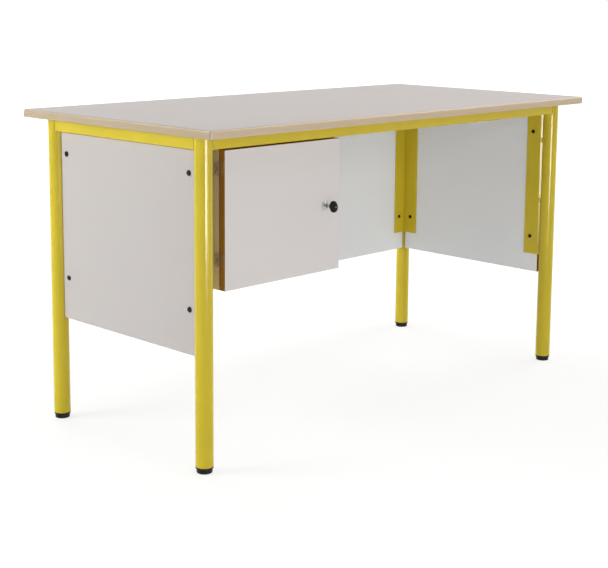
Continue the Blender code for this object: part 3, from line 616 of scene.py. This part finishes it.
def stage():
    """A pale floor that keeps the desk's shadow and runs into a white background."""
    mesh = bpy.data.meshes.new("studio_floor")
    corners = [(x * FLOOR_REACH, y * FLOOR_REACH, 0) for x, y in ((-1, -1), (1, -1), (1, 1), (-1, 1))]
    mesh.from_pydata(corners, [], [(0, 1, 2, 3)])
    floor = bpy.data.objects.new("studio_floor", mesh)
    floor.location.z = -FLOOR_GAP
    bpy.context.collection.objects.link(floor)
    made = bpy.data.materials.new("studio_floor")
    made.use_nodes = True
    tree = made.node_tree
    tree.nodes.clear()
    diffuse = put(tree, "ShaderNodeBsdfDiffuse", {"Color": FLOOR_GREY})
    white = put(tree, "ShaderNodeEmission", {"Color": WHITE, "Strength": FLOOR_GLOW})
    away = put(tree, "ShaderNodeVectorMath", {0: place(tree)}, operation="LENGTH").outputs["Value"]
    clear = spread(tree, away, SHADOW_INNER, SHADOW_OUTER, to_low=GLOW_UNDER_DESK)
    share = put(tree, "ShaderNodeMath", {0: shown(tree), 1: clear}, operation="MULTIPLY").outputs["Value"]
    both = put(tree, "ShaderNodeMixShader", {0: share, 1: diffuse.outputs[0], 2: white.outputs[0]})
    out = put(tree, "ShaderNodeOutputMaterial")
    tree.links.new(both.outputs[0], out.inputs["Surface"])
    mesh.materials.append(made)


def backdrop_world():
    """White behind the desk and in its gloss, with a plain level of light on it."""
    world = bpy.data.worlds.new("studio")
    bpy.context.scene.world = world
    world.use_nodes = True
    tree = world.node_tree
    tree.nodes.clear()
    light = put(tree, "ShaderNodeBackground", {"Color": WHITE, "Strength": AMBIENT})
    white = put(tree, "ShaderNodeBackground", {"Color": WHITE, "Strength": 1.0})
    both = put(tree, "ShaderNodeMixShader", {0: shown(tree), 1: light.outputs[0], 2: white.outputs[0]})
    out = put(tree, "ShaderNodeOutputWorld")
    tree.links.new(both.outputs[0], out.inputs["Surface"])


# Light and camera, with angles in degrees and the camera's lengths in the photograph's pixels

DAYLIGHT = (0.98, 1.02, 0.97)
IMAGE_WIDTH = 608
IMAGE_HEIGHT = 568
FOCAL = 1312.5
CENTRE_ROW = 193.0
CAMERA_AT = (-2.4583, -2.3479, 1.0429)
YAW = 45.490
PITCH = 8.719
ROLL = -0.426


def softbox(name, at, towards, width, height, power, gloss=False, tint=(1.0, 1.0, 1.0)):
    """A rectangular lamp that faces a point. It lights the desk, or it shows in its gloss."""
    lamp = bpy.data.lights.new(name, "AREA")
    lamp.shape = "RECTANGLE"
    lamp.size = width
    lamp.size_y = height
    lamp.energy = power
    lamp.color = tint
    made = bpy.data.objects.new(name, lamp)
    made.location = at
    made.rotation_euler = (Vector(towards) - Vector(at)).to_track_quat("-Z", "Y").to_euler()
    made.visible_camera = False
    made.visible_diffuse = not gloss
    made.visible_glossy = gloss
    bpy.context.collection.objects.link(made)


def camera():
    """The photograph's camera, fitted to the desk's edges, with most of its shift turned into pitch."""
    yaw, pitch, roll = (math.radians(angle) for angle in (YAW, PITCH, ROLL))
    ahead = Vector((math.sin(yaw) * math.cos(pitch), math.cos(yaw) * math.cos(pitch), -math.sin(pitch)))
    right = Vector((math.cos(yaw), -math.sin(yaw), 0))
    down = ahead.cross(right)
    turned_right = right * math.cos(roll) + down * math.sin(roll)
    turned_down = down * math.cos(roll) - right * math.sin(roll)
    lens = bpy.data.cameras.new("camera")
    lens.sensor_fit = "HORIZONTAL"
    lens.sensor_width = 36.0
    lens.lens = FOCAL * lens.sensor_width / IMAGE_WIDTH
    lens.shift_y = -(IMAGE_HEIGHT / 2 - CENTRE_ROW) / IMAGE_WIDTH
    lens.clip_end = 100.0
    made = bpy.data.objects.new("camera", lens)
    axes = Matrix((turned_right, -turned_down, -ahead)).transposed().to_4x4()
    made.matrix_world = Matrix.Translation(CAMERA_AT) @ axes
    bpy.context.collection.objects.link(made)
    bpy.context.scene.camera = made


stage()
backdrop_world()
softbox("left_softbox", (-3.4, 0.1, 0.85), (-0.3, 0.0, 0.45), 2.6, 1.5, 10, tint=DAYLIGHT)
softbox("back_left_softbox", (-3.2, 1.8, 1.35), (0.0, 0.0, 0.45), 1.6, 1.0, 65, tint=DAYLIGHT)
softbox("right_softbox", (3.4, -0.6, 1.3), (0.3, 0.0, 0.45), 2.4, 2.4, 45)
softbox("back_softbox", (0.3, 3.6, 1.4), (0.0, 0.0, 0.45), 3.0, 2.4, 72)
softbox("front_softbox", (-0.2, -4.2, 1.2), (0.0, 0.0, 0.5), 3.6, 2.0, 38)
softbox("front_left_softbox", (-2.7, -3.2, 1.2), (0.0, 0.0, 0.45), 1.6, 1.6, 9)
softbox("low_softbox", (-0.9, -1.9, 0.25), (0.6, 0.1, 0.40), 0.8, 0.45, 2.7)
softbox("overhead", (0.3, -0.6, 3.2), (0.1, 0.0, 0.5), 3.0, 3.0, 31)
softbox("front_strip", (-0.62, -1.67, 0.395), (-0.62, 0.0, 0.395), 0.74, 0.41, 13, gloss=True)
softbox("far_strip", (-0.93, -2.55, 0.32), (-0.93, 0.0, 0.32), 0.45, 0.52, 30, gloss=True)
softbox("left_strip", (-2.1, 0.9, 2.7), (-0.65, 0.0, 0.60), 0.70, 0.70, 100, gloss=True)
softbox("back_strip", (-1.35, 3.2, 3.2), (-1.35, 3.2, 0.0), 1.8, 2.6, 60, gloss=True)
softbox("right_strip", (3.0, -1.0, 3.2), (3.0, -1.0, 0.0), 3.6, 1.8, 180, gloss=True)
camera()
bpy.context.scene.view_settings.view_transform = "Standard"
